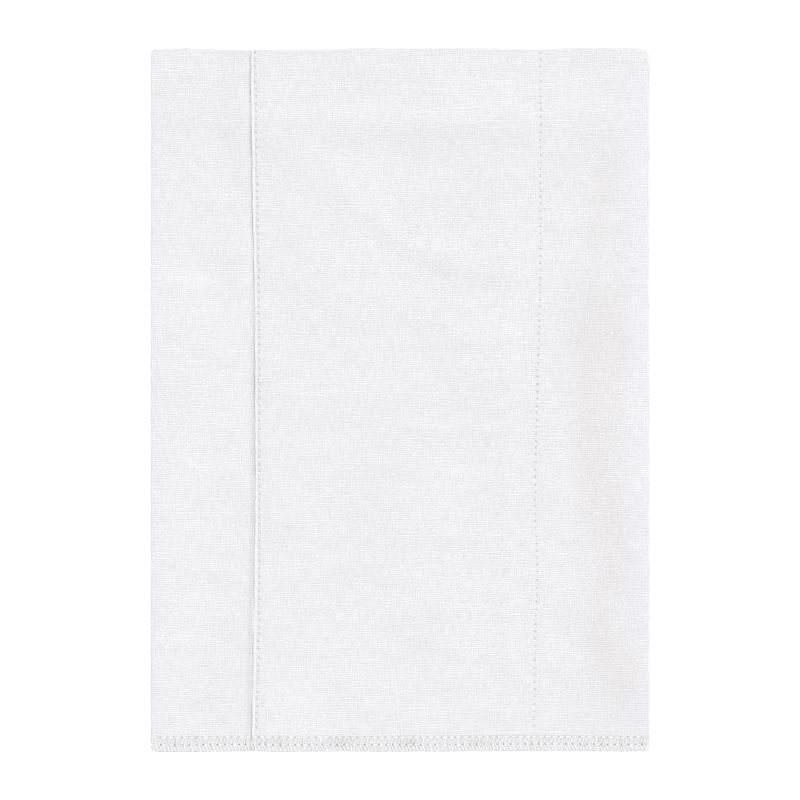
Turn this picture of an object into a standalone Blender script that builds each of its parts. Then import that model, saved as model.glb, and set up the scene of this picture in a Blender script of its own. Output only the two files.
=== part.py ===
"""Burp cloth: white cotton doubled crosswise, then folded lengthwise in three, back and forth.

Run with: blender --background --python part.py

The cloth lies flat with its face up. +X runs across it, +Y along it to the soft doubling fold, and +Z up.
The origin is the middle of its underside. Its section is one strip that runs back and forth:

        face layer          free edge ________________________________________
                                      ________________________________________)  right fold
        middle layer  (________________________________________________\_______)
        left fold     (________________________________________| hidden edge

The middle layer settles onto the surface past the hidden edge of the back layer. The face layer stays up
there, as a hollow fold that is highest just inside the right edge. Two seams run the whole length through all
the layers, and a serged end binds them at -Y. Sizes are in millimetres.
"""

import math
from collections import namedtuple

import bmesh
import bpy

METRES = 0.001

# The folded cloth.
HALF_WIDTH = 124.7
HALF_LENGTH = 176.0
THICK = 1.2  # the cloth, doubled
SEAM_GAP = 0.36  # between two layers where they are stitched together
OPEN_GAP = 0.55  # between two layers away from the stitches
FOLD_RUN = 1.2  # the most that the middle line bulges sideways in a fold

# How the layers settle.
PINCH_REACH = 7.0  # a seam draws the layers down for this far on each side
SERGE_REACH = 16.0  # and the serged end for this far along the cloth
HIDDEN_MARGIN = 2.2  # from the seam on the back to the hidden edge that it holds
MIDDLE_SAG = 21.0  # the middle layer comes down to the surface over this width
VALLEY_AT = 82.0  # across, where the hollow fold at the right starts to rise
CREST_AT = 117.0  # across, where it is highest
RIGHT_LOFT = 1.6  # its rise
SHOULDER_DROP = 0.4  # from its crest to the right edge
LOFT_RUN = 42.0  # it gains that height over this length from the serged end
LEFT_LOFT = 0.6  # the left fold springs open by this much more, at its loosest
LEFT_LOFT_AT = -92.0  # across, where that rise starts
LEFT_LOFT_REACH = 28.0  # across
LOOSEST_AT = -115.0  # along the cloth
LOOSE_REACH = 75.0  # along the cloth, to each side of that place
EDGE_SWELL = 0.4  # the middle layer swells up under the free edge and lifts it
SWELL_REACH = 4.2  # across, from the free edge over the middle layer
SWELL_FROM = 45.0  # along the cloth, where the swelling starts
SWELL_FULL = -85.0  # and where it is full

# Creases that stay in the face layer: from one end to the other, how far they reach to each side, and their
# height. One runs across near the doubling fold; a drag line runs from the free edge to the back seam.
Crease = namedtuple("Crease", "x0 y0 x1 y1 reach height")
CREASES = (
    Crease(-60.0, 140.0, 124.0, 139.0, 18.0, 0.50),
    Crease(-30.0, 139.0, 60.0, 139.0, 18.0, 0.40),
    Crease(-71.0, 132.0, -29.0, 114.0, 14.0, 0.26),
    Crease(-29.0, 103.0, -7.0, 82.0, 14.0, 0.34),
    Crease(-7.0, 82.0, 21.0, 68.0, 14.0, 0.34),
    Crease(21.0, 68.0, 64.0, 59.0, 14.0, 0.32),
)
FLAT_MARGIN = 14.0  # creases fade out over this distance from the seams and the right edge

# The ends and corners.
RIM_SHARE = 0.35  # of the full thickness is left at the very edge
TOP_LEFT_CORNER = 1.5
TOP_RIGHT_CORNER = 4.0
BOTTOM_CORNER = 2.2

# Across the cloth, each layer has this many columns of faces between its key lines.
FOLD_STEPS = 8
PANEL_STEPS = 5
FACE_STEPS = 11
SIDE_STEPS = 3
PINCH_STEPS = 2
SAG_STEPS = 5
SWELL_STEPS = 3
LOFT_STEPS = 7
MIDDLE_STATIONS = 32
END_STATIONS = (0.0, 0.12, 0.35, 0.7, 1.5, 2.6, 4.2, 8.0)  # distances from each end

# Where the long lines run: y along the cloth, then x of the free edge on the face, of the seam beside it,
# of the seam that holds the hidden edge, and of the outside of the right fold.
Run = namedtuple("Run", "y free_edge face_seam back_seam right_fold")
RUNS = (
    Run(-176.0, -73.6, -71.9, 67.1, 124.6),
    Run(-150.0, -73.5, -71.8, 67.3, 124.8),
    Run(-120.0, -72.5, -70.3, 67.6, 124.8),
    Run(-85.0, -72.4, -70.1, 68.7, 124.8),
    Run(-55.0, -72.3, -70.1, 67.6, 124.7),
    Run(0.0, -72.3, -70.2, 68.6, 124.5),
    Run(55.0, -72.8, -70.8, 70.1, 124.4),
    Run(95.0, -73.4, -71.3, 70.4, 124.5),
    Run(125.0, -74.3, -72.0, 70.4, 124.6),
    Run(176.0, -74.3, -72.1, 70.4, 124.7),
)

# Where the ends lie: x across the cloth, then y of the doubling fold, drawn in at both seams, and y of the
# serged end.
Reach = namedtuple("Reach", "x fold_end serged_end")
REACHES = (
    Reach(-124.7, 175.8, -176.2),
    Reach(-114.0, 176.3, -176.4),
    Reach(-95.0, 175.9, -176.3),
    Reach(-74.0, 175.0, -176.0),
    Reach(-58.0, 175.1, -176.3),
    Reach(-38.0, 175.5, -176.0),
    Reach(-15.0, 176.0, -176.0),
    Reach(25.0, 176.1, -175.9),
    Reach(45.0, 175.9, -175.8),
    Reach(69.0, 175.2, -175.8),
    Reach(90.0, 176.2, -175.9),
    Reach(107.0, 175.9, -176.2),
    Reach(124.7, 176.0, -176.0),
)


def ease(share):
    """0 to 1, flat at both ends."""
    share = min(max(share, 0.0), 1.0)
    return share * share * (3.0 - 2.0 * share)


def bell(distance, reach):
    """1 at no distance, falling smoothly to 0 at the reach."""
    return 1.0 - ease(abs(distance) / reach)


def follow(table, column, at):
    """The smooth line through one column of a table, read at a place along its first column."""
    places = [row[0] for row in table]
    values = [getattr(row, column) for row in table]
    at = min(max(at, places[0]), places[-1])
    i = max(k for k in range(len(places) - 1) if places[k] <= at)
    span = places[i + 1] - places[i]

    def slope(k):
        low, high = max(k - 1, 0), min(k + 1, len(places) - 1)
        return (values[high] - values[low]) / (places[high] - places[low])

    t = (at - places[i]) / span
    rise = values[i + 1] - values[i]
    start, end = slope(i) * span, slope(i + 1) * span
    bend = (start - 2.0 * rise + end) * t + 3.0 * rise - 2.0 * start - end
    return values[i] + start * t + bend * t * t


def creased(x, y):
    """How far the creases lift the face layer at one place."""
    lift = 0.0
    for crease in CREASES:
        run_x, run_y = crease.x1 - crease.x0, crease.y1 - crease.y0
        share = ((x - crease.x0) * run_x + (y - crease.y0) * run_y) / (run_x**2 + run_y**2)
        within = min(max(share, 0.0), 1.0)
        away = math.hypot(x - crease.x0 - run_x * within, y - crease.y0 - run_y * within)
        lift += crease.height * bell(away, crease.reach)
    return lift


def corner_cut(from_end, radius):
    """How far a round corner draws the side in, at a distance from the end."""
    inside = max(radius - from_end, 0.0)
    return radius - math.sqrt(radius * radius - inside * inside)


def rim_share(from_edge):
    """The share of the full thickness that the rounded edge has, at a distance from it."""
    half = THICK / 2.0
    inside = max(half - from_edge, 0.0) / half
    return RIM_SHARE + (1.0 - RIM_SHARE) * math.sqrt(1.0 - inside * inside)


class Station:
    """One place along the cloth, and where its key lines are there."""

    def __init__(self, share):
        self.share = share
        self.y = HALF_LENGTH * (2.0 * share - 1.0)
        from_top = HALF_LENGTH - self.y
        from_bottom = HALF_LENGTH + self.y
        bottom_cut = corner_cut(from_bottom, BOTTOM_CORNER)
        self.left = -HALF_WIDTH + corner_cut(from_top, TOP_LEFT_CORNER) + bottom_cut
        self.right = self.line("right_fold") - corner_cut(from_top, TOP_RIGHT_CORNER) - bottom_cut
        self.free_edge = self.line("free_edge")
        self.face_seam = self.line("face_seam")
        self.back_seam = self.line("back_seam")
        self.hidden_edge = self.back_seam + HIDDEN_MARGIN
        self.rim = min(rim_share(from_top), rim_share(from_bottom))
        self.serged = bell(from_bottom, SERGE_REACH)
        self.lofted = ease(from_bottom / LOFT_RUN)
        self.swell = ease((SWELL_FROM - self.y) / (SWELL_FROM - SWELL_FULL)) * (1.0 - self.serged)
        self.loose = bell(self.y - LOOSEST_AT, LOOSE_REACH)

    def line(self, column):
        return follow(RUNS, column, self.y)

    def gap(self, x):
        """Between two layers that lie on each other."""
        pinch = max(
            bell(x - self.face_seam, PINCH_REACH),
            bell(x - self.back_seam, PINCH_REACH),
            self.serged,
        )
        return OPEN_GAP + (SEAM_GAP - OPEN_GAP) * pinch

    def height(self, x, layers_below):
        """The middle of a layer's thickness, above the surface."""
        return THICK / 2.0 + (THICK + self.gap(x)) * layers_below

    def edge_swell(self, x):
        """The rise of the middle layer under the free edge, and of the free edge with it."""
        reach = SWELL_REACH if x < self.free_edge else self.face_seam - self.free_edge
        return EDGE_SWELL * self.swell * bell(x - self.free_edge, reach)

    def middle_height(self, x):
        """The middle layer lies on the back one, then on the surface."""
        left_loft = LEFT_LOFT * self.loose * ease((LEFT_LOFT_AT - x) / LEFT_LOFT_REACH)
        lift = left_loft * (1.0 - self.serged) + self.edge_swell(x)
        return self.height(x, 1.0 - ease((x - self.hidden_edge) / MIDDLE_SAG)) + lift

    def face_height(self, x):
        """The face layer lies on the middle one, and stays up past the back seam as a hollow fold."""
        pinched = THICK / 2.0 + (THICK + SEAM_GAP) * 2.0
        height = self.height(x, 2.0) if x < self.back_seam else pinched
        crest = ease((x - VALLEY_AT) / (CREST_AT - VALLEY_AT))
        shoulder = ease((x - CREST_AT) / (HALF_WIDTH - CREST_AT))
        height += (RIGHT_LOFT * crest - SHOULDER_DROP * shoulder) * self.lofted
        margin = min(abs(x - self.face_seam), abs(x - self.back_seam), self.right - x)
        height += creased(x, self.y) * ease(margin / FLAT_MARGIN) * (1.0 - self.serged)
        return height + self.edge_swell(x)


def between(start, end, steps):
    """Places from start to end, without the end itself."""
    return [start + (end - start) * k / steps for k in range(steps)]


def edge_places(edge, towards):
    """The places that round a free edge over, from the edge inwards."""
    side = math.copysign(1.0, towards - edge)
    return [edge + side * distance for distance in (0.0, 0.15, THICK / 2.0)]


def fold_arc(side, outside, low, high):
    """The middle line round a fold, from one layer to the other. side is +1 at the right, -1 at the left."""
    rise = (high - low) / 2.0
    run = min(rise, FOLD_RUN)
    centre = outside - side * (THICK / 2.0 + run)
    turns = [math.pi * (k / FOLD_STEPS - 0.5) for k in range(FOLD_STEPS + 1)]
    return [(centre + side * run * math.cos(a), low + rise + rise * math.sin(a)) for a in turns]


def across_seams(station, steps):
    """Places from the free edge's side of the face seam to the back seam, close together where they pinch."""
    s = station
    near, far = s.face_seam + PINCH_REACH, s.back_seam - PINCH_REACH
    return (
        between(s.face_seam, near, PINCH_STEPS)
        + between(near, far, steps)
        + between(far, s.back_seam, PINCH_STEPS)
        + [s.back_seam]
    )


def middle_line(station):
    """The middle of the cloth's thickness at one station: (x, z, distance from a free edge)."""
    s = station
    low = THICK / 2.0
    left_fold = fold_arc(-1.0, s.left, low, s.middle_height(s.left))
    right_fold = fold_arc(1.0, s.right, s.middle_height(s.right), s.face_height(s.right))
    inner_left, inner_right = left_fold[0][0], right_fold[0][0]
    pinch_start = s.free_edge - PINCH_REACH

    back = edge_places(s.hidden_edge, s.back_seam)
    back += between(s.back_seam, s.face_seam, PANEL_STEPS)
    back += between(s.face_seam, pinch_start, PINCH_STEPS)
    back += between(pinch_start, inner_left, SIDE_STEPS)

    middle = between(inner_left, pinch_start, SIDE_STEPS)[1:]
    middle += between(pinch_start, s.free_edge - SWELL_REACH, 1)
    middle += between(s.free_edge - SWELL_REACH, s.free_edge, SWELL_STEPS)
    middle += [s.free_edge]
    middle += across_seams(s, PANEL_STEPS)
    middle += between(s.hidden_edge, s.hidden_edge + MIDDLE_SAG, SAG_STEPS)
    middle += between(s.hidden_edge + MIDDLE_SAG, inner_right, SIDE_STEPS)

    face = between(inner_right, CREST_AT, 2)[1:]
    face += between(CREST_AT, VALLEY_AT, LOFT_STEPS)
    face += between(VALLEY_AT, s.back_seam, PINCH_STEPS)
    face += reversed(across_seams(s, FACE_STEPS))
    face += reversed(edge_places(s.free_edge, s.face_seam))

    line = [(x, low, abs(x - s.hidden_edge)) for x in back]
    line += [(x, z, HALF_WIDTH) for x, z in left_fold]
    line += [(x, s.middle_height(x), HALF_WIDTH) for x in middle]
    line += [(x, z, HALF_WIDTH) for x, z in right_fold]
    line += [(x, s.face_height(x), abs(x - s.free_edge)) for x in face]
    return line


def square_off(before, here, after):
    """The mitred normal of a line at one of its points, so that both sides keep their distance from it."""
    normals = []
    for (x0, z0), (x1, z1) in ((before, here), (here, after)):
        length = math.hypot(x1 - x0, z1 - z0)
        if length > 0.0:  # the line's first and last points have one neighbour only
            normals.append(((z1 - z0) / length, (x0 - x1) / length))
    first, last = normals[0], normals[-1]
    scale = 1.0 + first[0] * last[0] + first[1] * last[1]
    return (first[0] + last[0]) / scale, (first[1] + last[1]) / scale


def two_skins(station):
    """The section's points on both sides of the cloth, in metres."""
    line = middle_line(station)
    flat = [(x, z) for x, z, _ in line]
    skins = []
    for i, (x, z, from_edge) in enumerate(line):
        nx, nz = square_off(flat[max(i - 1, 0)], flat[i], flat[min(i + 1, len(flat) - 1)])
        half = THICK / 2.0 * min(station.rim, rim_share(from_edge))
        start, end = follow(REACHES, "serged_end", x), follow(REACHES, "fold_end", x)
        y = start + (end - start) * station.share
        skins.append(
            [
                (METRES * (x + side * half * nx), METRES * y, METRES * (z + side * half * nz))
                for side in (1.0, -1.0)
            ]
        )
    return skins


def station_shares():
    """Places along the cloth as shares of its length, close together where the ends round over."""
    length = 2.0 * HALF_LENGTH
    near = [distance / length for distance in END_STATIONS]
    inner = between(near[-1], 1.0 - near[-1], MIDDLE_STATIONS)[1:]
    return near + inner + [1.0 - share for share in reversed(near)]


def cloth_mesh():
    """One closed body: both skins of the folded strip, joined along its two edges and its two ends."""
    rows = [two_skins(Station(share)) for share in station_shares()]
    bm = bmesh.new()
    grid = [[[bm.verts.new(point) for point in pair] for pair in row] for row in rows]
    for row, after in zip(grid, grid[1:], strict=False):
        for i in range(len(row) - 1):
            bm.faces.new((row[i][0], row[i + 1][0], after[i + 1][0], after[i][0]))
            bm.faces.new((row[i][1], after[i][1], after[i + 1][1], row[i + 1][1]))
        for i in (0, len(row) - 1):
            bm.faces.new((row[i][0], after[i][0], after[i][1], row[i][1]))
    for row in (grid[0], grid[-1]):
        for i in range(len(row) - 1):
            bm.faces.new((row[i][0], row[i][1], row[i + 1][1], row[i + 1][0]))
    bmesh.ops.recalc_face_normals(bm, faces=bm.faces)
    mesh = bpy.data.meshes.new("cloth")
    bm.to_mesh(mesh)
    bm.free()
    mesh.shade_smooth()
    mesh.set_sharp_from_angle(angle=math.radians(50.0))
    return mesh


def cotton():
    """Bleached cotton: near white and fully matt."""
    material = bpy.data.materials.new("white_cotton")
    material.use_nodes = True
    shader = material.node_tree.nodes["Principled BSDF"]
    shader.inputs["Base Color"].default_value = (0.87, 0.87, 0.88, 1.0)
    shader.inputs["Roughness"].default_value = 0.9
    shader.inputs["Metallic"].default_value = 0.0
    return material


def main():
    for old in list(bpy.data.objects):
        bpy.data.objects.remove(old)
    cloth = bpy.data.objects.new("cloth", cloth_mesh())
    cloth.data.materials.append(cotton())
    bpy.context.scene.collection.objects.link(cloth)


main()
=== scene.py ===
# %% [markdown]
# # A folded burp cloth in Blender
#
# The object is one piece of bleached cotton and some white thread. The cotton is doubled crosswise, which
# leaves a soft fold at the far end. The doubled cloth is then folded lengthwise in three, back and forth,
# like a letter. Two rows of lockstitch hold the layers, and an overlock machine binds the open end.
#
# The lesson goes in the order in which such a cloth is made: lay out the folds, give the cloth its
# thickness, sew the two seams, bind the end, and then look at the weave.

# %% Load the frame
import math
import random
from collections import namedtuple
from itertools import accumulate

import bmesh
import bpy
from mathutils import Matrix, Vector, noise


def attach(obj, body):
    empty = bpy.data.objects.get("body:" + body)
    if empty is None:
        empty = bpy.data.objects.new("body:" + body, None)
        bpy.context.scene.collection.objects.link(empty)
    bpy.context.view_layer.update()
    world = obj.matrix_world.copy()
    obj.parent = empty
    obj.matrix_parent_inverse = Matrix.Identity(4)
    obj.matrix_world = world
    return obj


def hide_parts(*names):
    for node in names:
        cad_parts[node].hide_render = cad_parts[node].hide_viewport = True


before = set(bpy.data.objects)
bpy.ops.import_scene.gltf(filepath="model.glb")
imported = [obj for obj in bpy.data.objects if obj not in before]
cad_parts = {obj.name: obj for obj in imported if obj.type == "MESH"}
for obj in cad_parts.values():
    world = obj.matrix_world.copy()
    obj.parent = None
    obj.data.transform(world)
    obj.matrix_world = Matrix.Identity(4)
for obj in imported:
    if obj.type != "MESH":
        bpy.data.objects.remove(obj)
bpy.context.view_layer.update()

MM = 0.001  # the lesson's sizes are in millimetres, and Blender's are in metres
WHITE = (1, 1, 1, 1)


def add_object(name, data):
    """A new object in the scene."""
    made = bpy.data.objects.new(name, data)
    bpy.context.scene.collection.objects.link(made)
    return made


def set_inputs(node, **values):
    """Sets the inputs of a node. An underscore in a name stands for a space."""
    for label, value in values.items():
        node.inputs[label.replace("_", " ")].default_value = value


def new_finish(name):
    """A material, its node tree and its shader."""
    finish = bpy.data.materials.new(name)
    finish.use_nodes = True
    return finish, finish.node_tree, finish.node_tree.nodes["Principled BSDF"]


def table_of(titles, *rows):
    """Rows with a name for each column."""
    kind = namedtuple("Row", titles)
    return tuple(kind(*row) for row in rows)


# %% [markdown]
# ## Camera, table and light
#
# A flat cloth is drawn best from straight above. A long lens far away keeps the four edges parallel. The
# light is a big soft lamp on the upper right, a faint one on the left, and a bright room. White on white
# shows its folds only where the surface turns towards the lamp or away from it, so one side has to be
# brighter.

# %% Camera straight above
VIEW_WIDTH = 0.4
LENS, SENSOR = 216, 36
SHIFT, FACE_HEIGHT = 0.0002, 0.003
camera = add_object("camera", bpy.data.cameras.new("camera"))
camera.data.lens, camera.data.sensor_width = LENS, SENSOR
camera.data.clip_start, camera.data.clip_end = 0.1, 20
camera.location = (SHIFT, -SHIFT, VIEW_WIDTH * LENS / SENSOR + FACE_HEIGHT)
bpy.context.scene.camera = camera

# %% Pale table
TABLE_HALF, TABLE_LEVEL = 6, -0.0002
TABLE_CORNERS = ((-1, -1), (1, -1), (1, 1), (-1, 1))
table_mesh = bpy.data.meshes.new("table")
table_points = [(x * TABLE_HALF, y * TABLE_HALF, TABLE_LEVEL) for x, y in TABLE_CORNERS]
table_mesh.from_pydata(table_points, [], [(0, 1, 2, 3)])
table_paint, _, paint = new_finish("table paint")
set_inputs(paint, Base_Color=(0.3, 0.3, 0.3, 1), Roughness=0.9, Specular_IOR_Level=0.1)
set_inputs(paint, Emission_Color=WHITE, Emission_Strength=1)
table_mesh.materials.append(table_paint)
add_object("table", table_mesh)

# %% Soft lamp and bright room
LAMPS = table_of(
    "name energy softness shines",
    ("main lamp", 1.86, 0.9, (-2.3, -2.1, -3.9)),
    ("left lamp", 0.61, 1, (3, 0.5, -1)),
)
for row in LAMPS:
    lamp = add_object(row.name, bpy.data.lights.new(row.name, "SUN"))
    lamp.data.energy, lamp.data.angle = row.energy, row.softness
    lamp.rotation_euler = Vector(row.shines).to_track_quat("-Z", "Y").to_euler()

room = bpy.data.worlds.new("bright room")
room.use_nodes = True
set_inputs(room.node_tree.nodes["Background"], Color=WHITE, Strength=0.69)
bpy.context.scene.world = room
bpy.context.scene.view_settings.view_transform = "Standard"

# %% [markdown]
# ## Where the long lines run
#
# Nothing on a hand-folded cloth is quite straight. The free edge, both seams and the right fold wander by
# a millimetre or two, so each is a smooth line through a short table. A cubic curve through the rows
# keeps them free of kinks. The doubling fold and the bound end get a table of their own.

# %% Tables of the long lines
HALF_WIDTH = 124.7
HALF_LENGTH = 176
RUNS = table_of(
    "y free_edge face_seam back_seam right_fold",
    (-176, -73.7, -72, 67.1, 125.2),
    (-150, -73.4, -71.4, 67.3, 125.4),
    (-120, -72.85, -70.55, 67.6, 125.5),
    (-85, -72.35, -70.3, 68.7, 125.5),
    (-55, -72.1, -70.25, 67.6, 125.4),
    (0, -72.1, -70.25, 68.6, 125.3),
    (55, -72.4, -70.6, 70.1, 125.2),
    (95, -73.2, -71.3, 70.4, 125.3),
    (125, -73.65, -71.7, 70.4, 125.4),
    (176, -74.3, -72.4, 70.4, 125.4),
)
REACHES = table_of(
    "x fold_end bound_end",
    (-124.7, 175.8, -176.2),
    (-114, 176.3, -176.4),
    (-95, 175.9, -176.3),
    (-74, 175, -176),
    (-58, 175.1, -176.3),
    (-38, 175.5, -176.1),
    (-15, 176, -176.2),
    (25, 176.1, -176.1),
    (45, 175.9, -175.9),
    (69, 175.2, -175.8),
    (90, 176.2, -175.9),
    (107, 175.9, -176.2),
    (124.7, 176, -176),
)


def ease(share):
    """0 to 1, flat at both ends."""
    share = min(max(share, 0), 1)
    return share * share * (3 - 2 * share)


def bell(distance, reach):
    """1 at no distance, falling smoothly to 0 at the reach."""
    return 1 - ease(abs(distance) / reach)


def follow(table, column, at):
    """The smooth line through one column of a table, read at a place along its first column."""
    places = [row[0] for row in table]
    values = [getattr(row, column) for row in table]
    at = min(max(at, places[0]), places[-1])
    i = max(k for k in range(len(places) - 1) if places[k] <= at)
    span = places[i + 1] - places[i]

    def slope(k):
        low, high = max(k - 1, 0), min(k + 1, len(places) - 1)
        return (values[high] - values[low]) / (places[high] - places[low])

    t = (at - places[i]) / span
    rise = values[i + 1] - values[i]
    start, end = slope(i) * span, slope(i + 1) * span
    bend = (start - 2 * rise + end) * t + 3 * rise - 2 * start - end
    return values[i] + start * t + bend * t * t


print("free edge at mid length:", follow(RUNS, "free_edge", 0), "mm")

# %% [markdown]
# ## How the layers settle
#
# Two layers of soft cotton don't lie flat on each other. They press together under a row of stitches and
# under the bound end, and they spring open at a fold. So the thickness of the doubled cloth and the gap
# between the layers both depend on how near the sewing is. The right fold is the springiest: the face
# layer dips past the seam and rises again to a soft crest before it turns over.

# %% Creases that stay in the cloth
CREASE_TITLES = "x0 y0 x1 y1 reach steep height"
FACE_CREASES = table_of(
    CREASE_TITLES,
    # the crosswise ridge near the doubling fold, highest in the middle
    (-60, 140, 124, 139, 14, 18, 0.5),
    (-30, 139, 60, 139, 14, 16, 0.45),
    # a drag line, down from the free edge to the back seam
    (-71, 132, -29, 114, 10, 12, 0.26),
    (-29, 103, -7, 82, 13, 5, 0.4),
    (-7, 82, 21, 68, 13, 5, 0.4),
    (21, 68, 64, 59, 13, 5.5, 0.36),
    # old folding lines across the cloth
    (12, 29, 66, 28.5, 9, 4.5, 0.26),
    (-50, 30, 12, 29, 9, 5, 0.12),
    (12, -15.5, 66, -16, 9, 4.5, 0.26),
    (-15, -107, 66, -108, 9, 4.5, 0.26),
    (35, -98, 62, -98.5, 8, 4.5, 0.22),
    (70, -62, 94, -72, 9, 6, 0.32),
    # and along it
    (29, -112, 28.5, -166, 8, 4.5, 0.26),
    (29, 4, 28.5, -28, 8, 5, 0.2),
    (41.5, 170, 41, 52, 7, 4.5, 0.16),
    (51.5, 168, 51, 60, 7, 4.5, 0.22),
    (52.5, 52, 52, -70, 8, 5, 0.2),
    (52, -80, 54, -164, 8, 5, 0.24),
    (22, -60, 22.5, -100, 7, 6, 0.16),
    (-38, 20, -37, -60, 9, 7, 0.14),
)
PANEL_CREASES = table_of(
    CREASE_TITLES,
    (-96, 170, -86.5, 132, 6, 5, 0.28),
    (-79, 170, -78.5, 100, 8, 8, -0.3),
    (-80, 80, -81, 48, 7, 6, 0.24),
    (-86, -32, -88, -42, 8, 6, 0.24),
    (-118, 60, -90, 52, 8, 5, 0.22),
    (-120, -80, -84, -88, 9, 6, 0.22),
)
CREASES = {"face": FACE_CREASES, "middle": PANEL_CREASES}
STEEP_X, STEEP_Y = -2.3, -2.1  # a crease is steeper on its lower left side
WAVES = table_of("along_x along_y height", (19, 17, 0.5), (60, 8, 0.18), (7, 55, 0.15))


def creased(layer, x, y):
    """How far the creases lift the cloth at one place."""
    lift = 0
    for k, wave in enumerate(WAVES):
        start = 5 * k + (2.5 if layer == "face" else 0)
        lift += wave.height * noise.noise((x / wave.along_x, y / wave.along_y, start))
    for crease in CREASES[layer]:
        run_x, run_y = crease.x1 - crease.x0, crease.y1 - crease.y0
        share = ((x - crease.x0) * run_x + (y - crease.y0) * run_y) / (run_x**2 + run_y**2)
        within = min(max(share, 0), 1)
        off_x, off_y = x - crease.x0 - run_x * within, y - crease.y0 - run_y * within
        steep_side = off_x * STEEP_X + off_y * STEEP_Y > 0
        lift += crease.height * bell(math.hypot(off_x, off_y), crease.steep if steep_side else crease.reach)
    return lift


# %% How thick, how open and how high
OPEN_THICK, SEWN_THICK = 1.1, 1.04  # the doubled cloth
OPEN_GAP, SEWN_GAP = 0.26, 0.14  # between two layers
SEAM_REACH = 4.5
BINDING_REACH = 9
HIDDEN_MARGIN = 2.2  # from the seam on the back to the hidden edge that it holds
MIDDLE_SAG = 21  # past that edge the middle layer comes down to the table over this width
SEAM_DIP_REACH = 14  # the face comes down towards the back seam over this width
VALLEY_AT, CREST_AT = 80, 117
RIGHT_LOFT = 2.3
SHOULDER_DROP, SHARPER_DROP, SHARPER_RUN = 0.5, 0.5, 60  # the second drop is added in the upper half
LEFT_LOFT, LEFT_LOFT_AT, LEFT_LOFT_RUN = 0.6, -92, 28  # the left fold springs open
PANEL_MARGIN = 8  # the panel's creases fade out this near to the left fold
TOP_LEFT_CORNER, TOP_RIGHT_CORNER, BOTTOM_CORNER = 1.5, 4, 2.2
LOOSEST_AT, LOOSE_REACH = -115, 75
CREASES_FROM = 7  # creases and waves fade out this near to a seam
CLOSER = 0.14  # under the face, the middle layer lies this much nearer to the back
LEAST_GAP = 0.05  # the layer below stops a dip of the face here
SOFTNESS = 0.04  # and stops it this softly
EDGE_PRESS = 0.09  # the free edge closes the gap under it
EDGE_THINNER, EDGE_REACH = 0.6, 2.5  # and is pressed flat
EDGE_FLATTER = 0.27  # even flatter where the panel below swells
UNDER_EDGE, UNDER_EDGE_REACH = 0.75, 3.5  # the loose panel below swells up towards the free edge
SWELL_FROM, SWELL_FULL = 20, -95  # and does so more and more between these two places
THREAD_UNDER = 0.34  # the bound end lies on the threads that go round it
LOFT_RUN = 42  # the right fold gains its height over this length
FLATTER_FROM, FLATTER_RUN, FLATTER_SHARE = 105, 35, 0.65  # and loses a part near the doubling fold

# %% Heights of the three layers
def corner_cut(from_end, radius):
    """How far a round corner draws the side in, at a distance from the end."""
    inside = max(radius - from_end, 0)
    return radius - math.sqrt(radius * radius - inside * inside)


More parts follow.
